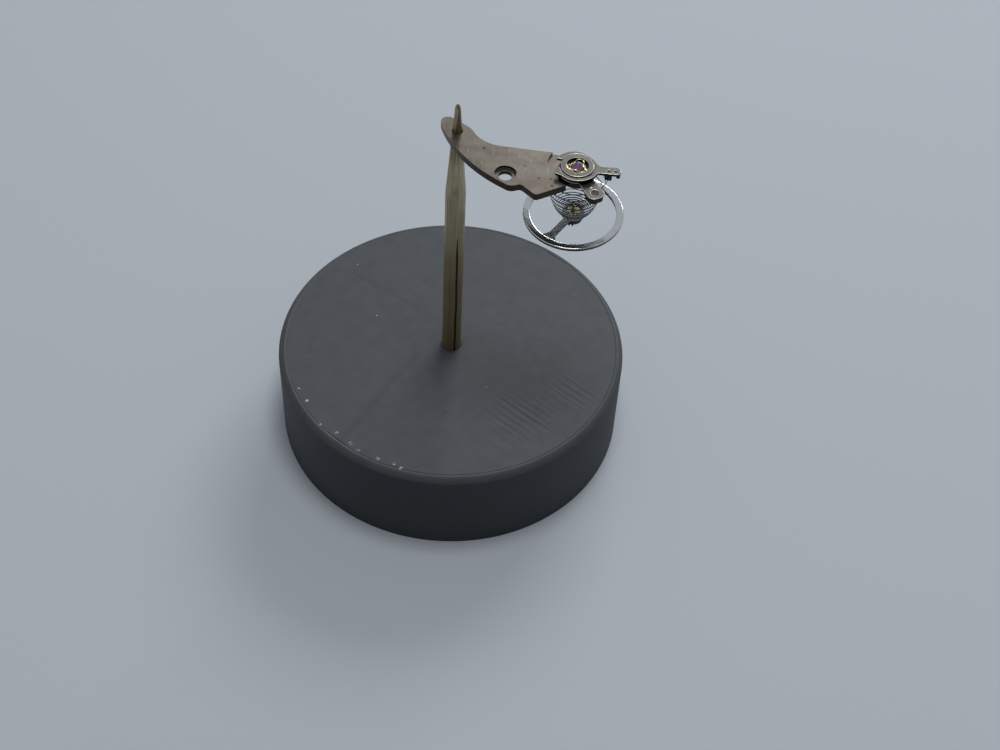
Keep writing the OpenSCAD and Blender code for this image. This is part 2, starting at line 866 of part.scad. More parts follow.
base();
post();
cock_plate();
setting_block();
chaton();
hole_jewel();
cap_jewel();
shock_spring();
regulator();
regulator_boot();
curb_pin();
stud_carrier();
stud();
stud_screw();
hairspring();
collet();
balance_wheel();
balance_staff();
roller_table();
safety_roller();
impulse_jewel();
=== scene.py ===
import math

import bmesh
import bpy
from mathutils import Euler, Matrix, Vector


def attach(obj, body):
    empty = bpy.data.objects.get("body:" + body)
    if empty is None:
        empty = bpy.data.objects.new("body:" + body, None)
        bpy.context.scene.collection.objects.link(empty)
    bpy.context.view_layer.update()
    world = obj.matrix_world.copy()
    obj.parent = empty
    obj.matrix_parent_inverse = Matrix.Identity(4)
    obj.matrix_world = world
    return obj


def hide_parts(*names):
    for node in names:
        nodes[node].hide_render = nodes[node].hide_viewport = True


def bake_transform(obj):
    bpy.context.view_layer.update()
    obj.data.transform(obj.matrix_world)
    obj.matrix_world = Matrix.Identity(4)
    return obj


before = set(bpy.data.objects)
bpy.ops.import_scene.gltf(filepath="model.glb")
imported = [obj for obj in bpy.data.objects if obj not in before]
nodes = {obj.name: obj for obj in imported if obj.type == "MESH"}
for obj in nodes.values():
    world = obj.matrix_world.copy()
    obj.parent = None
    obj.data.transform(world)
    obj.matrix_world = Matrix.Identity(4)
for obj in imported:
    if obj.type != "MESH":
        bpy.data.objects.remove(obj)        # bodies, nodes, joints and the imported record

# Balance tack: printed base, pointed brass post, and a watch balance cock that
# hangs on the point with its balance below it on the stretched hairspring.
# Meshes are drawn in millimetres and turned to metres when they are placed.

mm = 0.001
weld = 0.0005            # points nearer than this, in mm, are one
waveLength = math.tau / 20   # distance between a wave texture's bands at scale 1
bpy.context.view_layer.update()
print("frame loaded:", len(nodes), "CAD nodes")


# Helpers: colour, nodes, meshes

def toLinear(text):
    values = [int(text[i:i + 2], 16) / 255 for i in (1, 3, 5)]
    linear = [v / 12.92 if v <= 0.04045 else ((v + 0.055) / 1.055) ** 2.4 for v in values]
    return (*linear, 1.0)


def feed(tree, node, inputs):
    # Fills a node's inputs: another node's output is linked, anything else is set
    for name, value in inputs.items():
        if isinstance(value, bpy.types.NodeSocket):
            tree.links.new(value, node.inputs[name])
        else:
            node.inputs[name].default_value = value


def addNode(tree, kind, settings=None, inputs=None):
    node = tree.nodes.new("ShaderNode" + kind)
    for name, value in (settings or {}).items():
        setattr(node, name, value)
    feed(tree, node, inputs or {})
    return node


def startMaterial(name):
    material = bpy.data.materials.new(name)
    material.use_nodes = True
    tree = material.node_tree
    return material, tree, tree.nodes["Principled BSDF"]


def addObject(name, data):
    placed = bpy.data.objects.new(name, data)
    bpy.context.scene.collection.objects.link(placed)
    return placed


def keepMesh(made, name):
    # Turns a bmesh that is ready into a mesh
    mesh = bpy.data.meshes.new(name)
    made.to_mesh(mesh)
    made.free()
    return mesh


def roundCorners(points, steps=5, closed=True):
    # points are (x, y, radius); a radius of 0 keeps the corner sharp
    result = []
    count = len(points)
    for i, (x, y, radius) in enumerate(points):
        here = Vector((x, y))
        if radius == 0 or (not closed and i in (0, count - 1)):
            result.append(here)
            continue
        before = (Vector(points[i - 1][:2]) - here).normalized()
        after = (Vector(points[(i + 1) % count][:2]) - here).normalized()
        half = before.angle(after) / 2
        centre = here + (before + after).normalized() * radius / math.sin(half)
        first = here + before * radius / math.tan(half) - centre
        last = here + after * radius / math.tan(half) - centre
        turn = last.angle_signed(first) if first.length else 0
        for k in range(steps + 1):
            cos, sin = math.cos(turn * k / steps), math.sin(turn * k / steps)
            result.append(centre + Vector((first.x * cos - first.y * sin,
                                           first.x * sin + first.y * cos)))
    return result


def lathe(profile, steps, closed=True):
    # A profile of (radius, height) turned about Z; points on the axis become one vertex
    made = bmesh.new()
    rings = []
    for radius, height in profile:
        around = [math.tau * k / steps for k in range(steps)] if radius > 0 else [0.0]
        rings.append([made.verts.new((radius * math.cos(a), radius * math.sin(a), height))
                      for a in around])
    for low, high in zip(rings, rings[1:] + rings[:1] if closed else rings[1:]):
        if len(low) == 1 and len(high) == 1:
            continue
        for k in range(steps):
            n = (k + 1) % steps
            if len(low) == 1:
                made.faces.new((low[0], high[n], high[k]))
            elif len(high) == 1:
                made.faces.new((low[k], low[n], high[0]))
            else:
                made.faces.new((low[k], low[n], high[n], high[k]))
    bmesh.ops.recalc_face_normals(made, faces=made.faces)
    return keepMesh(made, "turned")


def sweep(name, sections, loop=False):
    # A solid through equal sections, each a ring of points: with two ends, or round in a loop
    made = bmesh.new()
    rings = [[made.verts.new(point) for point in section] for section in sections]
    for first, second in zip(rings, rings[1:] + rings[:1] if loop else rings[1:]):
        for i in range(len(first)):
            n = (i + 1) % len(first)
            made.faces.new((first[i], first[n], second[n], second[i]))
    if not loop:
        made.faces.new(rings[0][::-1])
        made.faces.new(rings[-1])
    bmesh.ops.recalc_face_normals(made, faces=made.faces)
    return keepMesh(made, name)


def applyModifiers(mesh, setUp):
    # Runs modifiers on a throwaway object and keeps the mesh they give
    holder = addObject("holder", mesh)
    setUp(holder)
    bpy.context.view_layer.update()
    shown = holder.evaluated_get(bpy.context.evaluated_depsgraph_get())
    result = bpy.data.meshes.new_from_object(shown)
    bpy.data.objects.remove(holder)
    return result


def roundEdges(mesh, width, clamp=True, steps=3, angle=35):
    def setUp(holder):
        bevel = holder.modifiers.new("edges", "BEVEL")
        bevel.width = width
        bevel.segments = steps
        bevel.limit_method = "ANGLE"
        bevel.angle_limit = math.radians(angle)
        bevel.use_clamp_overlap = clamp
        bevel.miter_outer = "MITER_ARC"
        holder.data.shade_smooth()
        holder.modifiers.new("shading", "WEIGHTED_NORMAL").keep_sharp = True
    return applyModifiers(mesh, setUp)


def flattenFaces(mesh, angle=50):
    # Large flat faces keep their own shading beside narrow rounded edges
    def setUp(holder):
        holder.data.shade_smooth()
        holder.data.set_sharp_from_angle(angle=math.radians(angle))
        holder.modifiers.new("shading", "WEIGHTED_NORMAL").keep_sharp = True
    return applyModifiers(mesh, setUp)


def join(meshes, kind="UNION"):
    # Boolean of closed meshes, one after another
    result = meshes[0]
    for other in meshes[1:]:
        tool = addObject("tool", other)

        def setUp(holder):
            cut = holder.modifiers.new("join", "BOOLEAN")
            cut.operation = kind
            cut.solver = "EXACT"
            cut.object = tool
        result = applyModifiers(result, setUp)
        bpy.data.objects.remove(tool)
    return result


def nodeMesh(name, flatWithin=0.5):
    # A copy of a CAD node's mesh in millimetres, with its flat faces whole
    made = bmesh.new()
    made.from_mesh(nodes[name].data)
    bmesh.ops.scale(made, vec=(1 / mm,) * 3, verts=made.verts)
    bmesh.ops.remove_doubles(made, verts=made.verts, dist=weld)
    bmesh.ops.dissolve_limit(made, angle_limit=math.radians(flatWithin),
                             verts=made.verts, edges=made.edges)
    return keepMesh(made, name + "Copy")


def addPiece(name, mesh, material, body, replaced, place=None, sharp=40):
    # sharp is the angle from which an edge is shaded hard; 0 keeps the mesh's own shading
    mesh.transform(Matrix.Scale(mm, 4) @ (place or Matrix()))
    mesh.shade_smooth()
    if sharp:
        mesh.set_sharp_from_angle(angle=math.radians(sharp))
    mesh.materials.clear()
    mesh.materials.append(material)
    piece = addObject(name, mesh)
    if replaced:
        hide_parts(*replaced)
    if body:
        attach(piece, body)
    return piece


# Places that several pieces share, in millimetres and degrees

axisAt = Vector((9.29, -3.74, 0))        # the jewels', ring's and balance's common axis
rimTop = 28.78
balanceLean = (3, -1.2)                  # the balance hangs out of level
spiralSeat = -0.01                       # it leans about this height above its rim
baseTop = 8.6
postLean = 0.35
onAxis = Matrix.Translation(axisAt)
onBalance = (
    Matrix.Translation(axisAt + Vector((0, 0, rimTop + spiralSeat)))
    @ Euler((*map(math.radians, balanceLean), 0)).to_matrix().to_4x4()
    @ Matrix.Translation((0, 0, -spiralSeat))
)
onPost = (
    Matrix.Translation((0, 0, baseTop))
    @ Matrix.Rotation(math.radians(postLean), 4, "Y")
    @ Matrix.Translation((0, 0, -baseTop))
)


# Materials: every size in them is in millimetres

def strongest(tree, masks):
    # The largest of several masks at each point
    result = masks[0]
    for mask in masks[1:]:
        result = addNode(tree, "Math", {"operation": "MAXIMUM"}, {
            0: mask.outputs[0], 1: result.outputs[0]})
    return result.outputs[0]


def spotMask(tree, here, spots):
    # How near a point is to the nearest of some spots (x, y, radius): 1 inside, 0 away
    masks = []
    for x, y, radius in spots:
        away = addNode(tree, "VectorMath", {"operation": "DISTANCE"}, {
            0: here, 1: (x * mm, y * mm, 0)})
        masks.append(addNode(tree, "MapRange", {"interpolation_type": "SMOOTHSTEP"}, {
            "Value": away.outputs["Value"], "From Min": radius * mm,
            "From Max": 0.4 * radius * mm}))
    return strongest(tree, masks)


def seamMask(tree, here, seams, wide):
    # 1 along the middle of straight seams, each from a start to an end point, 0 away
    masks = []
    for start, end in seams:
        run = Vector(end) - Vector(start)
        placed = addNode(tree, "Mapping", {"vector_type": "TEXTURE"}, {
            "Vector": here, "Location": (start[0] * mm, start[1] * mm, 0),
            "Rotation": (0, 0, math.atan2(run.y, run.x))})
        along = addNode(tree, "SeparateXYZ", {}, {"Vector": placed.outputs["Vector"]})
        off = addNode(tree, "Math", {"operation": "ABSOLUTE"}, {0: along.outputs["Y"]})
        across = addNode(tree, "MapRange", {"interpolation_type": "SMOOTHSTEP"}, {
            "Value": off.outputs[0], "From Min": wide * mm, "From Max": 0})
        within = addNode(tree, "Math", {"operation": "COMPARE"}, {
            0: along.outputs["X"], 1: run.length / 2 * mm, 2: run.length / 2 * mm})
        masks.append(addNode(tree, "Math", {"operation": "MULTIPLY"}, {
            0: across.outputs[0], 1: within.outputs[0]}))
    return strongest(tree, masks)


def layTones(tree, tone, layers):
    # Lays tones over the first one, each as far as its mask shows it
    for mask, over in layers:
        tone = addNode(tree, "Mix", {"data_type": "RGBA"}, {
            0: mask, 6: tone, 7: toLinear(over)}).outputs[2]
    return tone


def slopeMask(tree, coords, steep, flat):
    # 1 where a surface is steeper than one limit and 0 where it is flatter than the other,
    # both given as how far its normal points up
    up = addNode(tree, "SeparateXYZ", {}, {"Vector": coords.outputs["Normal"]})
    return addNode(tree, "MapRange", {}, {
        "Value": up.outputs["Z"], "From Min": flat, "From Max": steep}).outputs["Result"]


def clouded(name, look, surface):
    # A finish that drifts between two tones, with a slight relief where look has one
    material, tree, shader = startMaterial(name)
    coords = addNode(tree, "TexCoord")
    cloud = addNode(tree, "TexNoise", {}, {
        "Vector": coords.outputs["Object"], "Scale": 1 / (look["cloud"] * mm),
        "Detail": look["detail"]})
    low, high = look.get("span", (0, 1))
    spread = addNode(tree, "MapRange", {}, {
        "Value": cloud.outputs["Fac"], "From Min": low, "From Max": high})
    first, second = look["tones"]
    tone = layTones(tree, toLinear(first), [(spread.outputs["Result"], second)])
    feed(tree, shader, {"Base Color": tone, **surface})
    if "relief" in look:
        bump = addNode(tree, "Bump", {}, {
            "Height": cloud.outputs["Fac"], "Distance": look["relief"] * mm})
        feed(tree, shader, {"Normal": bump.outputs["Normal"]})
    return material


def seamShadeBrass():
    # Painted shade in the rod's open seam: brown-black and dull
    look = {"tones": ("#261D12", "#463722"), "cloud": 0.3, "detail": 3.0}
    return clouded("seamShadeBrass", look, {"Roughness": 0.7})


def giltBrass():
    # Gilded brass: yellow and bright, slightly uneven from its plating
    look = {"tones": ("#8F845A", "#C6BB92"), "cloud": 0.3, "detail": 3.0, "relief": 0.004}
    return clouded("giltBrass", look, {"Metallic": 1.0, "Roughness": 0.25})


def polishedRuby():
    # Synthetic ruby, lapped and polished: deep red-violet and glassy
    look = {"tones": ("#74407C", "#3A2440"), "cloud": 0.4, "detail": 1.0}
    return clouded("polishedRuby", look, {
        "Roughness": 0.08, "IOR": 1.77, "Transmission Weight": 0.25})


def blackenedSteel():
    # Hardened steel, blackened in oil: nearly black with a dull shine
    look = {"tones": ("#2A2927", "#4A4843"), "cloud": 0.25, "detail": 4.0,
            "span": (0.45, 0.7), "relief": 0.003}
    return clouded("blackenedSteel", look, {"Metallic": 0.9, "Roughness": 0.4})


def rolledAlloy():
    # Hairspring alloy, rolled to strip: dark grey faces that glint along their length
    look = {"tones": ("#303336", "#64676A"), "cloud": 0.5, "detail": 3.0}
    return clouded("rolledAlloy", look, {"Metallic": 1.0, "Roughness": 0.22})


def printedPla():
    # PLA laid down in beads: matt, faint raster lines, seams and small whitened scars, with
    # painted shade on its wall and a painted shadow round the post's foot
    material, tree, shader = startMaterial("printedPla")
    look = {
        "top": "#3B3F45", "valley": "#33373D", "edge": "#494A47", "wallShade": "#2C3033",
        "scar": "#B4B6B4", "darkTone": "#222425", "roughness": 0.62,
        "beadWide": 0.6, "rasterTurn": 37.5, "patch": 5.0, "mottle": 1.4,
        "grain": 0.18, "grainWeight": 0.7, "speck": 0.13, "relief": 0.008,
        # how much of its own tone the rounded edge, the wall's painted shade and a seam show
        "edgeTone": 0.35, "wallTone": 0.75, "seamTone": 0.22,
        "scars": [(-11.78, -7.33, 0.21), (-10.33, -9.83, 0.17), (-8.91, -10.6, 0.19),
                  (-7.62, -11.6, 0.22), (-6.92, -12.3, 0.19), (-5.25, -13.05, 0.22),
                  (-3.89, -13.5, 0.17), (-3.29, -13.9, 0.22), (-9.04, 8.86, 0.09),
                  (-6.76, 2.76, 0.09), (-1.98, 0.3, 0.09), (3.25, -4.76, 0.09),
                  (7.33, -6.21, 0.09), (-12.6, -6.1, 0.15)],
        # small pits, and a painted shadow round the post's foot
        "darkSpots": [(0.0, -7.85, 0.14), (-4.6, 6.4, 0.1), (8.2, 3.1, 0.1), (0.0, 0.0, 1.35)],
        # where one run of the top layer meets the next, as start and end point
        "seams": [((-2.7, -1.1), (-8.7, -11.7)), ((-1.2, 2.6), (-8.9, 7.6))], "seamWide": 0.55,
    }
    coords = addNode(tree, "TexCoord")
    here = coords.outputs["Object"]
    flat = addNode(tree, "VectorMath", {"operation": "MULTIPLY"}, {
        0: here, 1: (1, 1, 0)}).outputs["Vector"]
    turned = addNode(tree, "Mapping", {}, {
        "Vector": flat, "Rotation": (0, 0, math.radians(look["rasterTurn"]))})
    waves = addNode(tree, "TexWave", {"bands_direction": "Y"}, {
        "Vector": turned.outputs["Vector"], "Scale": waveLength / (look["beadWide"] * mm),
        "Distortion": 0.5, "Detail": 1.0, "Detail Scale": 2.0})
    patches = addNode(tree, "TexNoise", {}, {
        "Vector": flat, "Scale": 1 / (look["patch"] * mm), "Detail": 2.0, "Roughness": 0.6})
    shown = addNode(tree, "MapRange", {}, {
        "Value": patches.outputs["Fac"], "From Min": 0.55, "From Max": 0.75})
    facing = addNode(tree, "SeparateXYZ", {}, {"Vector": coords.outputs["Normal"]})
    onTop = addNode(tree, "Math", {"operation": "MULTIPLY"}, {
        0: shown.outputs["Result"], 1: facing.outputs["Z"]})
    lines = addNode(tree, "Math", {"operation": "MULTIPLY"}, {
        0: waves.outputs["Fac"], 1: onTop.outputs[0]})
    grain = addNode(tree, "TexNoise", {}, {
        "Vector": here, "Scale": 1 / (look["grain"] * mm), "Detail": 3.0, "Roughness": 0.6})
    relief = addNode(tree, "Math", {"operation": "MULTIPLY_ADD"}, {
        0: grain.outputs["Fac"], 1: look["grainWeight"], 2: lines.outputs[0]})
    bump = addNode(tree, "Bump", {}, {
        "Height": relief.outputs[0], "Distance": look["relief"] * mm})
    mottle = addNode(tree, "TexNoise", {}, {
        "Vector": here, "Scale": 1 / (look["mottle"] * mm), "Detail": 5.0, "Roughness": 0.65})
    spread = addNode(tree, "MapRange", {}, {
        "Value": mottle.outputs["Fac"], "From Min": 0.3, "From Max": 0.6})
    specks = addNode(tree, "TexNoise", {}, {
        "Vector": here, "Scale": 1 / (look["speck"] * mm), "Detail": 1.0})
    broken = addNode(tree, "MapRange", {}, {
        "Value": specks.outputs["Fac"], "From Min": 0.47, "From Max": 0.58})
    scars = addNode(tree, "Math", {"operation": "MULTIPLY"}, {
        0: spotMask(tree, flat, look["scars"]), 1: broken.outputs["Result"]})
    # the rounded edge is where the surface faces neither up nor outwards
    shoulder = addNode(tree, "Math", {"operation": "COMPARE"}, {
        0: facing.outputs["Z"], 1: 0.6, 2: 0.36})
    softened = addNode(tree, "Math", {"operation": "MULTIPLY"}, {
        0: shoulder.outputs[0], 1: look["edgeTone"]})
    # surfaces that face sideways are darkened: painted shade on the wall
    upright = addNode(tree, "MapRange", {}, {
        "Value": facing.outputs["Z"], "From Min": 0.35, "From Max": 0.1,
        "To Max": look["wallTone"]})
    met = addNode(tree, "Math", {"operation": "MULTIPLY"}, {
        0: seamMask(tree, flat, look["seams"], look["seamWide"]), 1: look["seamTone"]})
    # the last dark spot is a painted shadow round the post's foot
    tone = layTones(tree, toLinear(look["valley"]), [
        (spread.outputs["Result"], look["top"]), (softened.outputs[0], look["edge"]),
        (upright.outputs["Result"], look["wallShade"]), (scars.outputs[0], look["scar"]),
        (spotMask(tree, flat, look["darkSpots"]), look["darkTone"]), (met.outputs[0], look["darkTone"])])
    feed(tree, shader, {"Base Color": tone, "Normal": bump.outputs["Normal"],
                        "Roughness": look["roughness"], "IOR": 1.46})
    return material


def drawnBrass():
    # Brass rod, drawn and handled: dull, with long streaks, and a flatter, less metallic brown
    # towards its foot
    material, tree, shader = startMaterial("drawnBrass")
    look = {"clean": "#B3A88C", "tarnish": "#6E6048", "foot": "#9C865F",
            "streak": 0.14, "stretch": 0.02, "blotch": 6.0, "relief": 0.006,
            # heights between which the foot's tone fades out, and its share at the bottom
            "footTop": 26, "footBottom": 9, "footShare": 0.85,
            "roughness": (0.5, 0.34), "metallic": (0.88, 0.4)}
    coords = addNode(tree, "TexCoord")
    here = coords.outputs["Object"]
    long = addNode(tree, "Mapping", {}, {"Vector": here, "Scale": (1.0, 1.0, look["stretch"])})
    streaks = addNode(tree, "TexNoise", {}, {
        "Vector": long.outputs["Vector"], "Scale": 1 / (look["streak"] * mm),
        "Detail": 4.0, "Roughness": 0.65})
    blotches = addNode(tree, "TexNoise", {}, {
        "Vector": here, "Scale": 1 / (look["blotch"] * mm), "Detail": 3.0})
    height = addNode(tree, "SeparateXYZ", {}, {"Vector": here})
    low = addNode(tree, "MapRange", {}, {
        "Value": height.outputs["Z"], "From Min": look["footTop"] * mm,
        "From Max": look["footBottom"] * mm, "To Max": look["footShare"]})
    blend = addNode(tree, "Math", {"operation": "MULTIPLY_ADD"}, {
        0: streaks.outputs["Fac"], 1: 0.8, 2: blotches.outputs["Fac"]})
    span = addNode(tree, "MapRange", {}, {
        "Value": blend.outputs[0], "From Min": 0.68, "From Max": 1.02})
    tone = layTones(tree, toLinear(look["tarnish"]), [
        (span.outputs["Result"], look["clean"]), (low.outputs["Result"], look["foot"])])
    rough = addNode(tree, "MapRange", {}, {
        "Value": span.outputs["Result"], "To Min": look["roughness"][0],
        "To Max": look["roughness"][1]})
    bare = addNode(tree, "MapRange", {}, {
        "Value": low.outputs["Result"], "To Min": look["metallic"][0],
        "To Max": look["metallic"][1]})
    bump = addNode(tree, "Bump", {}, {
        "Height": streaks.outputs["Fac"], "Distance": look["relief"] * mm})
    feed(tree, shader, {"Base Color": tone, "Normal": bump.outputs["Normal"],
                        "Roughness": rough.outputs["Result"], "Metallic": bare.outputs["Result"]})
    return material


def wornNickel():
    # Nickel plated brass, worn: warm grey and matt, with scratches and pits, a painted highlight
    # on its rounded arrises and painted shade, dull brown, on its walls
    material, tree, shader = startMaterial("wornNickel")
    look = {"plate": "#6F6B63", "worn": "#645C54", "wallShade": "#3A332B", "arrisHighlight": "#D8D2C6",
            "darkTone": "#3A342E", "scratch": "#A8A397", "metallic": 0.95, "roughness": 0.3,
            "patch": 1.5, "grain": 0.1, "relief": 0.003,
            "scratchWide": 0.12, "scratchStretch": 0.12, "scratchTurn": 35, "scratchTone": 0.4,
            "darkSpots": [(7.45, -5.58, 0.16), (7.36, -4.84, 0.13), (6.47, -4.8, 0.13),
                     (2.26, -1.84, 0.16), (5.4, -3.6, 0.1), (3.2, -6.1, 0.1)]}
    coords = addNode(tree, "TexCoord")
    here = coords.outputs["Object"]
    flat = addNode(tree, "VectorMath", {"operation": "MULTIPLY"}, {
        0: here, 1: (1, 1, 0)}).outputs["Vector"]
    patches = addNode(tree, "TexNoise", {}, {
        "Vector": here, "Scale": 1 / (look["patch"] * mm), "Detail": 4.0, "Roughness": 0.6})
    spread = addNode(tree, "MapRange", {}, {
        "Value": patches.outputs["Fac"], "From Min": 0.4, "From Max": 0.62})
    scored = addNode(tree, "Mapping", {}, {
        "Vector": here, "Scale": (1.0, look["scratchStretch"], 1.0),
        "Rotation": (0, 0, math.radians(look["scratchTurn"]))})
    scratches = addNode(tree, "TexNoise", {}, {
        "Vector": scored.outputs["Vector"], "Scale": 1 / (look["scratchWide"] * mm),
        "Detail": 3.0})
    scratchMask = addNode(tree, "MapRange", {}, {
        "Value": scratches.outputs["Fac"], "From Min": 0.62, "From Max": 0.72,
        "To Max": look["scratchTone"]})
    # rounded arrises take a painted highlight, walls a painted shade
    tone = layTones(tree, toLinear(look["plate"]), [
        (spread.outputs["Result"], look["worn"]), (scratchMask.outputs["Result"], look["scratch"]),
        (spotMask(tree, flat, look["darkSpots"]), look["darkTone"]),
        (slopeMask(tree, coords, 0.85, 0.97), look["arrisHighlight"]),
        (slopeMask(tree, coords, 0.1, 0.4), look["wallShade"])])
    grain = addNode(tree, "TexNoise", {}, {
        "Vector": here, "Scale": 1 / (look["grain"] * mm), "Detail": 4.0, "Roughness": 0.7})
    relief = addNode(tree, "Math", {"operation": "ADD"}, {
        0: grain.outputs["Fac"], 1: scratches.outputs["Fac"]})
    bump = addNode(tree, "Bump", {}, {
        "Height": relief.outputs[0], "Distance": look["relief"] * mm})
    feed(tree, shader, {"Base Color": tone, "Normal": bump.outputs["Normal"],
                        "Metallic": look["metallic"], "Roughness": look["roughness"]})
    return material


def groundSteel():
    # Steel ground flat on a fine stone: grey sheen on top, a painted highlight on its rounded
    # arrises and painted shade on its walls
    material, tree, shader = startMaterial("groundSteel")
    look = {"face": "#5E5D58", "shade": "#53524D", "wallShade": "#24211D", "arrisHighlight": "#F4F2EC",
            "cloud": 0.8, "grit": 0.06, "relief": 0.0006, "roughness": 0.36}
    coords = addNode(tree, "TexCoord")
    here = coords.outputs["Object"]
    grit = addNode(tree, "TexNoise", {}, {
        "Vector": here, "Scale": 1 / (look["grit"] * mm), "Detail": 4.0, "Roughness": 0.7})
    cloud = addNode(tree, "TexNoise", {}, {
        "Vector": here, "Scale": 1 / (look["cloud"] * mm), "Detail": 3.0})
    # rounded arrises take a painted highlight, walls a painted shade
    tone = layTones(tree, toLinear(look["shade"]), [
        (cloud.outputs["Fac"], look["face"]),
        (slopeMask(tree, coords, 0.9, 0.985), look["arrisHighlight"]),
        (slopeMask(tree, coords, 0.15, 0.4), look["wallShade"])])
    bump = addNode(tree, "Bump", {}, {
        "Height": grit.outputs["Fac"], "Distance": look["relief"] * mm})
    feed(tree, shader, {"Base Color": tone, "Normal": bump.outputs["Normal"],
                        "Metallic": 1.0, "Roughness": look["roughness"]})
    return material


def turnedNickel():
    # Nickel alloy of the wheel, turned and polished: cool grey, fine turning rings and a few
    # file strokes across the front arm
    material, tree, shader = startMaterial("turnedNickel")
    look = {"light": "#E6E9EA", "shade": "#CED1D3", "wallShade": "#34363A", "stroke": "#9A9D9E",
            "cloud": 0.9, "roughness": 0.09, "rings": 0.03, "ringRelief": 0.0012,
            "arm": -124.5, "strokesFrom": 2.0, "strokesTo": 2.9,
            "strokeWide": 0.16, "strokeTone": 0.9, "strokeRelief": 0.02}
    coords = addNode(tree, "TexCoord")
    here = coords.outputs["Object"]
    centred = addNode(tree, "VectorMath", {"operation": "SUBTRACT"}, {
        0: here, 1: (axisAt.x * mm, axisAt.y * mm, 0)}).outputs["Vector"]
    rings = addNode(tree, "TexWave", {"wave_type": "RINGS", "rings_direction": "Z"}, {
        "Vector": centred, "Scale": waveLength / (look["rings"] * mm),
        "Distortion": 0.6, "Detail": 2.0, "Detail Scale": 3.0})
    cloud = addNode(tree, "TexNoise", {}, {
        "Vector": here, "Scale": 1 / (look["cloud"] * mm), "Detail": 3.0})
    alongArm = addNode(tree, "Mapping", {}, {
        "Vector": centred, "Rotation": (0, 0, math.radians(-look["arm"]))})
    onArm = addNode(tree, "SeparateXYZ", {}, {"Vector": alongArm.outputs["Vector"]})
    reach = addNode(tree, "Math", {"operation": "COMPARE"}, {
        0: onArm.outputs["X"], 1: (look["strokesFrom"] + look["strokesTo"]) / 2 * mm,
        2: (look["strokesTo"] - look["strokesFrom"]) / 2 * mm})
    strokes = addNode(tree, "TexWave", {"bands_direction": "X"}, {
        "Vector": alongArm.outputs["Vector"],
        "Scale": waveLength / (look["strokeWide"] * mm), "Distortion": 0.3})
    strokeMask = addNode(tree, "MapRange", {}, {
        "Value": strokes.outputs["Fac"], "From Min": 0.45, "From Max": 0.6,
        "To Max": look["strokeTone"]})
    struck = addNode(tree, "Math", {"operation": "MULTIPLY"}, {
        0: strokeMask.outputs["Result"], 1: reach.outputs[0]})
    # walls facing sideways take a painted shade
    tone = layTones(tree, toLinear(look["shade"]), [
        (cloud.outputs["Fac"], look["light"]), (struck.outputs[0], look["stroke"]),
        (slopeMask(tree, coords, 0.1, 0.35), look["wallShade"])])
    turned = addNode(tree, "Bump", {}, {
        "Height": rings.outputs["Fac"], "Distance": look["ringRelief"] * mm})
    bump = addNode(tree, "Bump", {}, {
        "Height": struck.outputs[0], "Distance": look["strokeRelief"] * mm,
        "Normal": turned.outputs["Normal"]})
    feed(tree, shader, {"Base Color": tone, "Normal": bump.outputs["Normal"],
                        "Metallic": 1.0, "Roughness": look["roughness"]})
    return material


finish = {
    "printed_plastic": printedPla(),
    "post_brass": drawnBrass(),
    "nickel_plate": wornNickel(),
    "ground_steel": groundSteel(),
    "gilt_brass": giltBrass(),
    "ruby": polishedRuby(),
    "dark_steel": blackenedSteel(),
    "spring_alloy": rolledAlloy(),
    "wheel_nickel": turnedNickel(),
}
seamShade = seamShadeBrass()
print("materials made:", len(finish) + 1)


# Base: printed in layers, so its wall is a stack of small rounded beads, and its top is
# one more closed layer, laid down in straight beads with a few left open

baseSizes = {"radius": 15.0, "chamfer": 0.45, "layer": 0.2, "bulge": 0.012, "steps": 256,
             # the groove between the outermost bead and the top: where, and how deep
             "grooveFrom": 0.14, "grooveTo": 0.22, "grooveDeep": 0.03,
             "mouth": 0.87, "mouthDeep": 0.25, "post": 0.82, "socket": 6.0,
             "topLayer": 0.15, "beadWide": 0.6, "beadHigh": 0.002, "rasterTurn": -37.5,
             "alongStep": 0.6, "leastRow": 0.012,
             # coarser patches of the top as x, y, radius and how much taller the beads are
             "coarse": [(10.8, -4.9, 1.6, 0.032), (6.4, -7.7, 2.1, 0.032), (9.6, 0.4, 1.4, 0.012),
                        (5.6, -10.9, 1.5, 0.012), (-6.0, -10.2, 2.0, 0.006)],
             # gaps between beads as start and end point on the top face
             "gapDeep": 0.02, "gapWide": 0.14, "gapRows": (-0.5, -0.17, 0.17, 0.5),
             "gaps": [((10.02, -3.26), (12.06, -4.87)), ((9.89, -4.88), (11.77, -6.37)),
                      ((8.74, -4.57), (11.66, -6.77)), ((4.23, -5.7), (8.73, -9.2)),
                      ((3.82, -7.98), (5.9, -9.51)), ((4.3, -10.1), (6.2, -11.5))]}


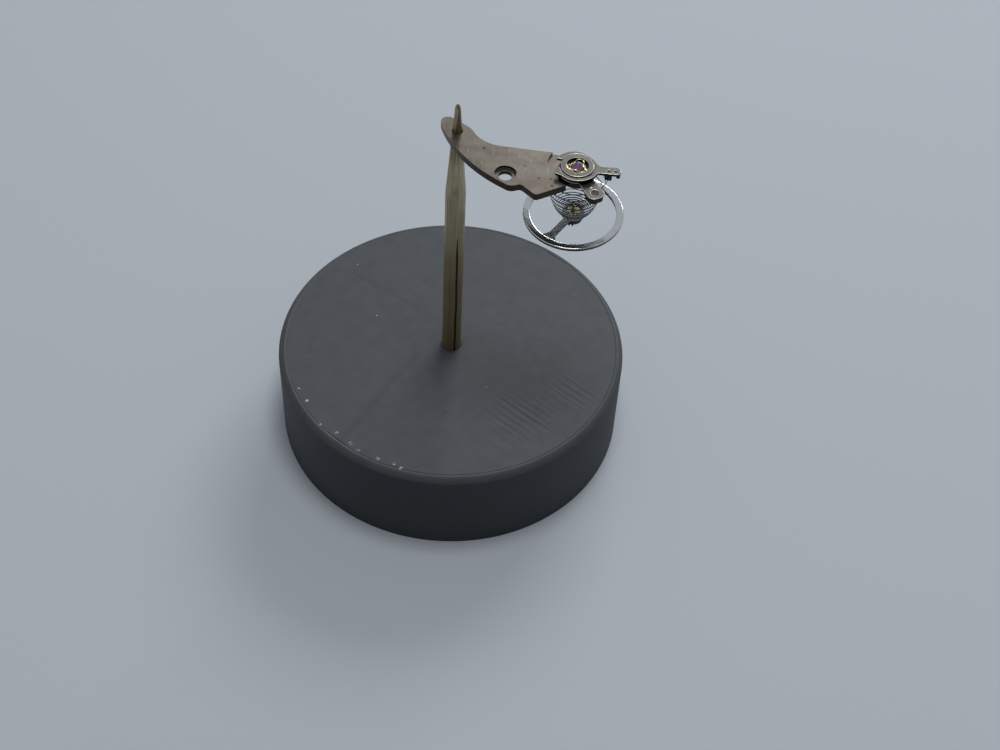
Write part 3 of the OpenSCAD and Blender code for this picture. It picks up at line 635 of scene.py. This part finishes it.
def makeBase():
    s = baseSizes
    edge = s["radius"] - s["chamfer"]
    flatTo = edge - s["grooveTo"]
    sunk = baseTop - s["grooveDeep"]
    under = baseTop - s["topLayer"] / 2
    profile = [(0, 0), (s["radius"] - s["bulge"], 0)]
    layers = int(round((baseTop - s["chamfer"]) / s["layer"]))
    tall = (baseTop - s["chamfer"]) / layers
    for i in range(layers):
        for part, out in ((0.25, 0.0), (0.75, 0.0), (1.0, -s["bulge"])):
            profile.append((s["radius"] + out, (i + part) * tall))
    profile += [
        (s["radius"] - s["chamfer"] * 0.9, baseTop - 0.02),
        (edge - 0.03, baseTop),
        (edge - s["grooveFrom"], baseTop),
        (edge - s["grooveFrom"] - 0.04, sunk),
        (flatTo - 0.02, sunk),
        (flatTo - 0.04, under),
        (s["mouth"] + 0.02, under),
        (s["mouth"], under - 0.05),
        (s["mouth"], baseTop - s["mouthDeep"]),
        (s["post"], baseTop - s["mouthDeep"]),
        (s["post"], baseTop - s["socket"]),
        (0, baseTop - s["socket"]),
    ]
    body = bmesh.new()
    body.from_mesh(lathe(profile, s["steps"], closed=False))
    body.from_mesh(makeTopLayer(flatTo))
    addPiece("basePrinted", keepMesh(body, "printed"), finish["printed_plastic"], "stand",
             ["base"], sharp=55)


def makeTopLayer(radius):
    # A thin disc round the post in straight rows: rows run along the beads, and each
    # point's height follows the bead's crown and any open gap near it
    s = baseSizes
    turn = Matrix.Rotation(math.radians(s["rasterTurn"]), 3, "Z")
    back = turn.transposed()
    gaps = [(back @ Vector((*a, 0)), back @ Vector((*b, 0))) for a, b in s["gaps"]]
    coarse = [(back @ Vector((x, y, 0)), reach, high) for x, y, reach, high in s["coarse"]]
    quarter = s["beadWide"] / 4
    count = int(radius / quarter)
    offsets = {0.0, s["mouth"], -s["mouth"]} | {k * quarter for k in range(-count, count + 1)}
    for a, b in gaps:
        offsets |= {(a.y + b.y) / 2 + part * s["gapWide"] for part in s["gapRows"]}
    offsets = sorted(offsets)
    offsets = [y for y, after in zip(offsets, offsets[1:] + [math.inf])
               if after - y > s["leastRow"]]
    along = int(2 * radius / s["alongStep"] / 2)

    def heightAt(x, y):
        for a, b in gaps:
            beside = abs(y - (a.y + b.y) / 2)
            if beside < 0.3 * s["gapWide"] and min(a.x, b.x) <= x <= max(a.x, b.x):
                return -s["gapDeep"]
        tall = s["beadHigh"] + sum(
            high * math.exp(-((x - at.x) ** 2 + (y - at.y) ** 2) / reach ** 2)
            for at, reach, high in coarse)
        return tall * 0.5 * (math.cos(math.tau * y / s["beadWide"]) - 1)

    made = bmesh.new()
    for side in (-1, 1):
        rows = []
        for y in offsets:
            inner = math.sqrt(max(s["mouth"] ** 2 - y * y, 0))
            outer = math.sqrt(max(radius ** 2 - y * y, 0))
            row = []
            for k in range(along + 1):
                x = side * (inner + (outer - inner) * k / along)
                row.append(made.verts.new(turn @ Vector((x, y, baseTop + heightAt(x, y)))))
            rows.append(row)
        for first, second in zip(rows, rows[1:]):
            for k in range(along):
                corners = (first[k], first[k + 1], second[k + 1], second[k])
                made.faces.new(corners if side > 0 else corners[::-1])
    bmesh.ops.remove_doubles(made, verts=made.verts, dist=weld)
    bmesh.ops.recalc_face_normals(made, faces=made.faces)
    mesh = keepMesh(made, "topLayer")
    if mesh.polygons[0].normal.z < 0:
        mesh.flip_normals()

    def setUp(holder):
        solid = holder.modifiers.new("layer", "SOLIDIFY")
        solid.thickness = s["topLayer"]
        solid.offset = -1
    return applyModifiers(mesh, setUp)


makeBase()


# Post: brass rod, its top ground to a taper with a blunt nose, an open seam down its front

postSizes = {"radius": 0.82, "steps": 180,
             # height, radius and softness of each corner of its outline above the foot
             "foot": (2.6, 0.82, 0.05), "taper": (26.7, 0.82, 1.5), "nose": (35.25, 0.22, 0.25),
             "tip": (35.6, 0.07, 0.04),
             "seamTop": 22.3, "seamFrom": 0.5, "seamAt": -68.0, "seamWide": 0.17,
             "seamDeep": 0.1, "seamWander": 2.2, "seamFade": 2.5, "seamRows": 60,
             # share of half its width at which the points on each side of its middle stand
             "seamPlaces": {0: 0.0, 1: 0.8, 2: 1.05}}


def makePost():
    s = postSizes
    outline = [(radius, z, soft) for z, radius, soft in
               (s["foot"], s["taper"], s["nose"], s["tip"])]
    corners = roundCorners([(0, s["foot"][0], 0), *outline, (0, s["tip"][0], 0)],
                           steps=6, closed=False)
    start = baseTop - s["seamFrom"]
    seam = [Vector((s["radius"], start + (s["seamTop"] + 0.4 - start) * k / s["seamRows"]))
            for k in range(s["seamRows"] + 1)]
    low = [p for p in corners if p.y < start]
    high = [p for p in corners if p.y > s["seamTop"] + 0.5]
    made = bmesh.new()
    made.from_mesh(lathe(low + seam + high, s["steps"], closed=False))

    def seamHalf(z):
        # half its width in degrees; it tapers to a point at the top
        full = math.degrees(s["seamWide"] / 2 / s["radius"])
        return full * min(1.0, max(0.0, (s["seamTop"] - z) / s["seamFade"])) ** 0.5

    def seamCentre(z):
        return s["seamAt"] + s["seamWander"] * (
            0.6 * math.sin(z * 0.55) + 0.4 * math.sin(z * 1.35 + 1.0))

    for v in made.verts:
        outside = math.hypot(v.co.x, v.co.y) > s["radius"] / 2
        if not outside or v.co.z < start - 0.01 or v.co.z > s["seamTop"]:
            continue
        # points are drawn towards the seam, so that its edges are crisp
        half = seamHalf(v.co.z)
        off = math.degrees(math.atan2(v.co.y, v.co.x)) - seamCentre(v.co.z)
        rank = round(off / (360 / s["steps"]))
        if abs(rank) in s["seamPlaces"] and abs(off) < 4 * half + 3:
            off = math.copysign(s["seamPlaces"][abs(rank)] * half, rank)
            sunk = s["seamDeep"] * min(1.0, half / 2) if abs(rank) <= 1 else 0.0
            angle = math.radians(seamCentre(v.co.z) + off)
            v.co.x = (s["radius"] - sunk) * math.cos(angle)
            v.co.y = (s["radius"] - sunk) * math.sin(angle)
    mesh = keepMesh(made, "rod")
    # faces inside the seam take the painted seam shade
    seamShadeFaces = []
    for face in mesh.polygons:
        c = face.center
        near = abs(math.degrees(math.atan2(c.y, c.x)) - seamCentre(c.z)) < seamHalf(c.z) * 1.04
        if near and start < c.z < s["seamTop"]:
            seamShadeFaces.append(face.index)
    post = addPiece("postTurned", mesh, finish["post_brass"], "stand", ["post"],
                    onPost, sharp=60)
    post.data.materials.append(seamShade)
    for index in seamShadeFaces:
        post.data.polygons[index].material_index = 1


makePost()
print("stand made")


# Cock, regulator, stud carrier and small parts: their arrises broken

edgedPieces = {
    # node: name, body, slot, width of the broken edge
    "cock_plate": ("plateWorn", "cock", "nickel_plate", 0.05),
    "regulator": ("regulatorGround", "regulator", "ground_steel", 0.05),
    "regulator_boot": ("bootBlack", "regulator", "dark_steel", 0.04),
    "curb_pin": ("curbPinDrawn", "regulator", "ground_steel", 0.015),
    "stud_carrier": ("carrierGround", "stud_carrier", "ground_steel", 0.04),
    "stud": ("studBlack", "stud_carrier", "dark_steel", 0.02),
    "stud_screw": ("screwBlack", "stud_carrier", "dark_steel", 0.015),
    "collet": ("colletGilt", "balance", "gilt_brass", 0.03),
    "roller_table": ("rollerTurned", "balance", "ground_steel", 0.03),
    "safety_roller": ("safetyTurned", "balance", "ground_steel", 0.02),
    "impulse_jewel": ("impulseStone", "balance", "ruby", 0.015),
}
# these keep the full width beside their shortest edges too
wideEdges = {"regulator", "stud_carrier"}


def makeEdgedPieces():
    for node, (name, body, slotName, edge) in edgedPieces.items():
        mesh = roundEdges(nodeMesh(node), edge, clamp=node not in wideEdges)
        addPiece(name, mesh, finish[slotName], body, [node], sharp=0)


makeEdgedPieces()


# Milled notches along the front arris of the stud carrier

notchSizes = {"radius": 1.575, "height": 33.41, "thick": 0.045, "waist": 0.45, "pitch": 0.14,
              "from": -136.0, "to": -34.0, "around": 8, "perPitch": 8}


def makeNotches():
    s = notchSizes
    span = math.radians(s["to"] - s["from"])
    count = int(s["radius"] * span / s["pitch"])
    steps = count * s["perPitch"]
    sections = []
    for k in range(steps + 1):
        share = k / steps
        angle = math.radians(s["from"]) + span * share
        swell = abs(math.sin(math.pi * share * count))
        tube = s["thick"] * (s["waist"] + (1 - s["waist"]) * swell)
        section = []
        for i in range(s["around"]):
            turn = math.tau * i / s["around"]
            radius = s["radius"] + tube * math.cos(turn)
            section.append((radius * math.cos(angle), radius * math.sin(angle),
                            s["height"] + tube * math.sin(turn)))
        sections.append(section)
    addPiece("carrierNotches", sweep("notches", sections), finish["ground_steel"],
             "stud_carrier", None, onAxis, 70)


makeNotches()
print("flat pieces made")


# Shock setting: turned block, chaton and two jewels

turnedPieces = {
    # name: node, body, slot, and its outline as radius, height and softness of each corner
    "settingTurned": ("setting_block", "cock", "ground_steel", [
        (0.2, 32.32, 0.02), (1.03, 32.32, 0.03), (1.03, 33.06, 0), (1.16, 33.06, 0.02),
        (1.16, 33.18, 0.02), (1.03, 33.18, 0), (1.03, 33.34, 0), (1.25, 33.34, 0.03),
        (1.25, 33.52, 0.05), (0.84, 33.52, 0.02), (0.84, 33.47, 0), (0.89, 33.47, 0),
        (0.89, 33.38, 0), (0.84, 33.38, 0), (0.84, 33.255, 0), (0.64, 33.255, 0.02),
        (0.64, 32.79, 0), (0.2, 32.79, 0.02)]),
    "chatonGilt": ("chaton", "shock_jewel", "gilt_brass", [
        (0.16, 32.81, 0.01), (0.62, 32.81, 0.03), (0.62, 33.29, 0.03), (0.5, 33.29, 0.02),
        (0.5, 33.11, 0), (0.4, 33.11, 0), (0.4, 32.89, 0), (0.16, 32.89, 0.01)]),
    "holeStone": ("hole_jewel", "shock_jewel", "ruby", [
        (0.06, 32.99, 0.01), (0.22, 32.89, 0.05), (0.4, 32.89, 0.02), (0.4, 33.09, 0.02),
        (0.06, 33.09, 0.02)]),
    "capStone": ("cap_jewel", "shock_jewel", "ruby", [
        (0, 33.13, 0), (0.5, 33.13, 0.02), (0.5, 33.3, 0.04), (0.42, 33.38, 0.06),
        (0, 33.38, 0)]),
}


def makeTurned(name, node, body, slotName, profile, steps=128, place=onAxis):
    # an outline that ends on the axis is open there, any other one is a ring's section
    closed = profile[0][0] > 0
    mesh = flattenFaces(lathe(roundCorners(profile, steps=3, closed=closed), steps, closed))
    addPiece(name, mesh, finish[slotName], body, [node], place, 0)


for name, (node, body, slotName, profile) in turnedPieces.items():
    makeTurned(name, node, body, slotName, profile)


# The three-lobed spring: a flat band whose bows lie on the jewel and whose lobes are in
# the block's groove

trefoilSizes = {"middle": 0.61, "bow": 0.2, "lobes": 3, "band": 0.14, "thick": 0.03,
                "soft": 0.012, "direction": 71.0, "steps": 240,
                # underside on the jewel and in the groove, and radii where it turns between them
                "onJewel": 33.385, "inGroove": 33.43, "from": 0.5, "to": 0.7}


def makeTrefoil():
    s = trefoilSizes
    half, thick, soft = s["band"] / 2, s["thick"], s["soft"]
    section = [(-half + soft, 0), (half - soft, 0), (half, soft), (half, thick - soft),
               (half - soft, thick), (-half + soft, thick), (-half, thick - soft), (-half, soft)]
    sections = []
    for k in range(s["steps"]):
        angle = math.tau * k / s["steps"]
        swing = math.cos(s["lobes"] * (angle - math.radians(s["direction"])))
        radius = s["middle"] + s["bow"] * swing
        share = min(1.0, max(0.0, (radius - s["from"]) / (s["to"] - s["from"])))
        low = s["onJewel"] + (s["inGroove"] - s["onJewel"]) * share * share * (3 - 2 * share)
        sections.append([
            ((radius + out) * math.cos(angle), (radius + out) * math.sin(angle), low + up)
            for out, up in section
        ])
    piece = addPiece("trefoilSpring", sweep("trefoil", sections, loop=True),
                     finish["gilt_brass"], None, ["shock_spring"], onAxis, 50)
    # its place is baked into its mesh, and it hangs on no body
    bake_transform(piece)


makeTrefoil()
print("shock setting made")


# Balance: rim and arms, and the staff, in the leaning frame with 0 on top of the rim

wheelSizes = {"radius": 3.86, "rimWide": 0.56, "rimTall": 0.3, "rimSoft": 0.09, "innerSoft": 0.04,
              "armThick": 0.14, "armWide": 0.56, "fillet": 0.9, "hub": 0.88, "bore": 0.3,
              "direction": -124.5, "rimSteps": 240, "hubSteps": 96}


def makeSpoke(outline, low, turn):
    made = bmesh.new()
    lower = [made.verts.new((p.x, p.y, low)) for p in outline]
    upper = [made.verts.new((p.x, p.y, low + wheelSizes["armThick"])) for p in outline]
    made.faces.new(list(reversed(lower)))
    made.faces.new(upper)
    for k in range(len(outline)):
        n = (k + 1) % len(outline)
        made.faces.new((lower[k], lower[n], upper[n], upper[k]))
    bmesh.ops.rotate(made, verts=made.verts, cent=(0, 0, 0),
                     matrix=Matrix.Rotation(math.radians(turn), 3, "Z"))
    bmesh.ops.recalc_face_normals(made, faces=made.faces)
    return keepMesh(made, "spoke")


def makeWheel():
    s = wheelSizes
    inner, low = s["radius"] - s["rimWide"], -s["rimTall"]
    rim = lathe(roundCorners([
        (inner, low, s["innerSoft"]), (s["radius"], low, s["rimSoft"]),
        (s["radius"], 0, s["rimSoft"]), (inner, 0, s["rimSoft"]),
    ], steps=4), s["rimSteps"])
    # each arm widens in a fillet into the hub and into the rim
    waist, fillet = s["armWide"] / 2, s["fillet"]
    bend, end = inner - fillet * 0.6, inner + s["rimWide"] / 2
    outline = roundCorners([
        (0, -s["hub"] * 0.6, 0), (s["hub"], -waist, fillet), (bend, -waist, fillet),
        (end, -waist - fillet * 0.7, 0), (end, waist + fillet * 0.7, 0),
        (bend, waist, fillet), (s["hub"], waist, fillet), (0, s["hub"] * 0.6, 0),
    ], steps=8)
    spokes = [makeSpoke(outline, low, s["direction"] + turn) for turn in (0, 180)]
    top = low + s["armThick"]
    hub = lathe([(s["bore"], low), (s["hub"], low), (s["hub"], top), (s["bore"], top)],
                s["hubSteps"])
    drill = lathe([(0, low - 1), (s["bore"], low - 1), (s["bore"], 1), (0, 1)],
                  s["hubSteps"], closed=False)
    whole = flattenFaces(join([join([*spokes, hub, rim]), drill], "DIFFERENCE"))
    addPiece("wheelPolished", whole, finish["wheel_nickel"], "balance",
             ["balance_wheel"], onBalance, 0)


makeWheel()

staffOutline = [
    (0, -1.65, 0), (0.05, -1.65, 0.02), (0.05, -1.3, 0), (0.16, -1.02, 0), (0.16, -0.87, 0),
    (0.2, -0.87, 0), (0.2, -0.57, 0), (0.45, -0.57, 0.02), (0.45, -0.3, 0), (0.3, -0.3, 0),
    (0.3, -0.16, 0), (0.25, -0.16, 0), (0.25, 0.14, 0.02), (0.16, 0.14, 0), (0.05, 0.42, 0.1),
    (0.05, 0.77, 0.02), (0, 0.77, 0)]
makeTurned("staffTurned", "balance_staff", "balance", "ground_steel", staffOutline, 72, onBalance)


# Hairspring: a flat strip in fifteen close turns, hung from the stud. Each bit of it is
# twisted by the weight that hangs inside it, so the wide turns open far more than the
# narrow ones. pull is that weight against the strip's stiffness, in turns of strip per mm2

coilSizes = {"inner": 0.56, "outer": 2.36, "turns": 15.0, "endGap": 0.15, "endCurve": 6,
             "studDirection": -9.4, "studFlat": 0.17, "high": 32.73, "low": 28.8,
             "pull": 0.0109, "plumb": (-0.0094, -0.0496), "upright": 0.65,
             "strip": 0.09, "thick": 0.03, "stepsPerTurn": 48}


def hangStrip():
    # Follows the strip from the stud inwards; gives a place and a turn for each step
    s = coilSizes
    steps = int(s["turns"] * s["stepsPerTurn"])
    stud = math.radians(s["studDirection"]) - math.asin(s["studFlat"] / s["outer"])
    flat = []
    for k in range(steps + 1):
        share = 1 - k / steps
        radius = s["inner"] + (s["outer"] - s["endGap"] - s["inner"]) * share
        radius += s["endGap"] * share ** s["endCurve"]
        angle = stud - math.tau * s["turns"] * k / steps
        flat.append(Vector((radius * math.cos(angle), radius * math.sin(angle), 0)))
    here, turn = flat[0].copy(), Matrix.Identity(3)
    path = [(here.copy(), turn.copy(), flat[0].normalized())]
    for first, second in zip(flat, flat[1:]):
        bit = second - first
        arm = Vector((s["plumb"][0] - here.x, s["plumb"][1] - here.y, 0))
        moment = arm.cross(Vector((0, 0, -s["pull"])))
        along = (turn @ bit).normalized()
        up = turn @ Vector((0, 0, 1))
        given = along * moment.dot(along) + up * moment.dot(up) / s["upright"]
        turn = Matrix.Rotation(given.length * bit.length, 3, given) @ turn
        here = here + turn @ bit
        path.append((here.copy(), turn.copy(), second.normalized()))
    # what is missing to the collet is shared out, mostly over the inner turns
    miss = Vector((0, 0, s["low"] - s["high"])) - (here - turn @ flat[-1])
    return [(place + miss * (k / steps) ** 2, turned, out)
            for k, (place, turned, out) in enumerate(path)]


def makeHairspring():
    s = coilSizes
    half, tall = s["thick"] / 2, s["strip"] / 2
    sections = []
    for place, turn, out in hangStrip():
        middle = axisAt + Vector((0, 0, s["high"])) + place
        side, up = turn @ out, turn @ Vector((0, 0, 1))
        sections.append([middle + side * a * half + up * b * tall
                         for a, b in ((-1, -1), (1, -1), (1, 1), (-1, 1))])
    piece = addPiece("hairspringStrip", sweep("coil", sections), finish["spring_alloy"], None,
                     ["hairspring"])
    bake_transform(piece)


makeHairspring()
print("balance and hairspring made")


# Stage, light and camera, in metres

stageLook = {"floor": "#B2B9C1", "size": 1.2}


def makeStage():
    made = bmesh.new()
    bmesh.ops.create_grid(made, x_segments=1, y_segments=1, size=stageLook["size"] / 2)
    floor = addObject("floor", keepMesh(made, "floor"))
    material, tree, shader = startMaterial("paleCard")
    feed(tree, shader, {"Base Color": toLinear(stageLook["floor"]), "Roughness": 0.9,
                        "Specular IOR Level": 0.2})
    floor.data.materials.append(material)


makeStage()


lightLook = {
    # the room's strength as light, and as seen and mirrored
    "ambient": 0.28, "seen": 0.55, "sky": "#E2E7EC",
    # low down in front it falls to this share, over this span of 1.2 times height plus depth
    "front": 0.06, "heightWeight": 1.2, "span": (-0.6, 0.15),
    # softboxes: place, size, watts
    "window": ((0.15, 0.42, 0.27), (0.3, 0.16), 1.35),
    "overhead": ((0.02, 0.0, 0.45), (0.15, 0.15), 0.8),
    "aim": (0.005, 0.0, 0.015),
}


def makeSoftbox(name):
    place, size, watts = lightLook[name]
    lamp = bpy.data.lights.new(name, "AREA")
    lamp.shape = "RECTANGLE"
    lamp.size, lamp.size_y = size
    lamp.energy = watts
    holder = addObject(name, lamp)
    holder.location = place
    aim = Vector(lightLook["aim"]) - Vector(place)
    holder.rotation_euler = aim.to_track_quat("-Z", "Y").to_euler()


def makeLight():
    world = bpy.data.worlds.new("room")
    bpy.context.scene.world = world
    world.use_nodes = True
    tree = world.node_tree
    tree.nodes.clear()
    path = addNode(tree, "LightPath")
    seen = addNode(tree, "Math", {"operation": "MAXIMUM"}, {
        0: path.outputs["Is Camera Ray"], 1: path.outputs["Is Glossy Ray"]})
    through = addNode(tree, "Math", {"operation": "MAXIMUM"}, {
        0: seen.outputs[0], 1: path.outputs["Is Transmission Ray"]})
    strength = addNode(tree, "MapRange", {}, {
        "Value": through.outputs[0], "To Min": lightLook["ambient"], "To Max": lightLook["seen"]})
    coords = addNode(tree, "TexCoord")
    side = addNode(tree, "SeparateXYZ", {}, {"Vector": coords.outputs["Generated"]})
    lift = addNode(tree, "Math", {"operation": "MULTIPLY_ADD"}, {
        0: side.outputs["Z"], 1: lightLook["heightWeight"], 2: side.outputs["Y"]})
    room = addNode(tree, "MapRange", {"interpolation_type": "SMOOTHSTEP"}, {
        "Value": lift.outputs[0], "From Min": lightLook["span"][0],
        "From Max": lightLook["span"][1], "To Min": lightLook["front"], "To Max": 1.0})
    level = addNode(tree, "Math", {"operation": "MULTIPLY"}, {
        0: strength.outputs["Result"], 1: room.outputs["Result"]})
    glow = addNode(tree, "Background", {}, {
        "Color": toLinear(lightLook["sky"]), "Strength": level.outputs[0]})
    addNode(tree, "OutputWorld", {}, {"Surface": glow.outputs["Background"]})
    makeSoftbox("window")
    makeSoftbox("overhead")


makeLight()


cameraLook = {"focalPixels": 1624.79, "frameWide": 1000, "sensor": 36.0, "clip": (0.005, 10),
              "place": (0.004387, -0.093750, 0.115047), "elevation": 49.665, "roll": 3.124}


def makeCamera():
    s = cameraLook
    data = bpy.data.cameras.new("camera")
    data.sensor_fit = "HORIZONTAL"
    data.sensor_width = s["sensor"]
    data.lens = s["focalPixels"] * s["sensor"] / s["frameWide"]
    data.clip_start, data.clip_end = s["clip"]
    camera = addObject("camera", data)
    e, roll = math.radians(s["elevation"]), math.radians(s["roll"])
    back = Vector((0, -math.cos(e), math.sin(e)))
    level, upright = Vector((1, 0, 0)), Vector((0, math.sin(e), math.cos(e)))
    right = level * math.cos(roll) + upright * math.sin(roll)
    up = upright * math.cos(roll) - level * math.sin(roll)
    turn = Matrix((right, up, back)).transposed().to_4x4()
    camera.matrix_world = Matrix.Translation(s["place"]) @ turn
    bpy.context.scene.camera = camera
    bpy.context.scene.view_settings.view_transform = "Standard"


makeCamera()
print("stage, light and camera made")
